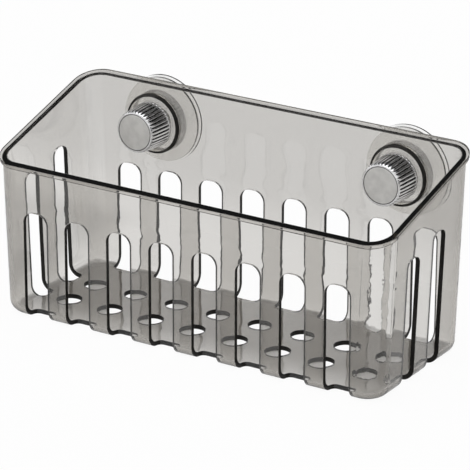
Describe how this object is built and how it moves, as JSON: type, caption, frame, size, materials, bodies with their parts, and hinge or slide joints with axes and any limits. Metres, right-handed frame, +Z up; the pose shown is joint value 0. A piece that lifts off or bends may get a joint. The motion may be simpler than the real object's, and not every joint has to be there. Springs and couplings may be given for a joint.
{
  "type": "kitchen sink caddy",
  "caption": "Clear open-topped caddy with slotted walls, a sloping rim and drain holes, held on a wall by screw-tightened suction cups.",
  "frame": {"origin": "on the resting plane, under the middle of the tub's floor", "axes": "+X along the tub, -Y towards its open front, +Y towards the wall it hangs on, +Z up"},
  "size_m": [0.294, 0.1244, 0.1373],
  "materials": {
    "smoke_plastic": "polished clear plastic, smoke grey",
    "clear_plastic": "polished clear plastic",
    "clear_soft": "soft clear plastic",
    "bright_steel": "zinc plated",
    "chrome_plating": "bright chrome plating on plastic",
    "brass": "turned",
    "satin_metal": "satin"
  },
  "bodies": {
    "tub": {"basket": "smoke_plastic", "left_press_shell": "clear_plastic", "left_collar": "clear_plastic", "left_suction_cup": "clear_soft", "right_press_shell": "clear_plastic", "right_collar": "clear_plastic", "right_suction_cup": "clear_soft"},
    "left_knob_set": {"left_knob": "chrome_plating", "left_nut": "brass", "left_face_disc": "satin_metal"},
    "left_stud_set": {"left_stud": "bright_steel"},
    "right_knob_set": {"right_knob": "chrome_plating", "right_nut": "brass", "right_face_disc": "satin_metal"},
    "right_stud_set": {"right_stud": "bright_steel"}
  },
  "joints": [
    {"name": "left_knob_turn", "type": "hinge", "parent": "tub", "child": "left_knob_set", "pos_m": [-0.0924, 0.0552, 0.1077], "axis": [0, 1, 0], "range_deg": [0, 360]},
    {"name": "left_stud_draw", "type": "slide", "parent": "tub", "child": "left_stud_set", "axis": [0, -1, 0], "range_m": [0, 0.0025], "deforming": ["left_suction_cup"]},
    {"name": "right_knob_turn", "type": "hinge", "parent": "tub", "child": "right_knob_set", "pos_m": [0.0924, 0.0552, 0.1077], "axis": [0, 1, 0], "range_deg": [0, 360]},
    {"name": "right_stud_draw", "type": "slide", "parent": "tub", "child": "right_stud_set", "axis": [0, -1, 0], "range_m": [0, 0.0025], "deforming": ["right_suction_cup"]}
  ],
  "couplings": [
    {"joint": "left_stud_draw", "follows": "left_knob_turn", "m_per_rad": 0.00039788},
    {"joint": "right_stud_draw", "follows": "right_knob_turn", "m_per_rad": 0.00039788}
  ]
}
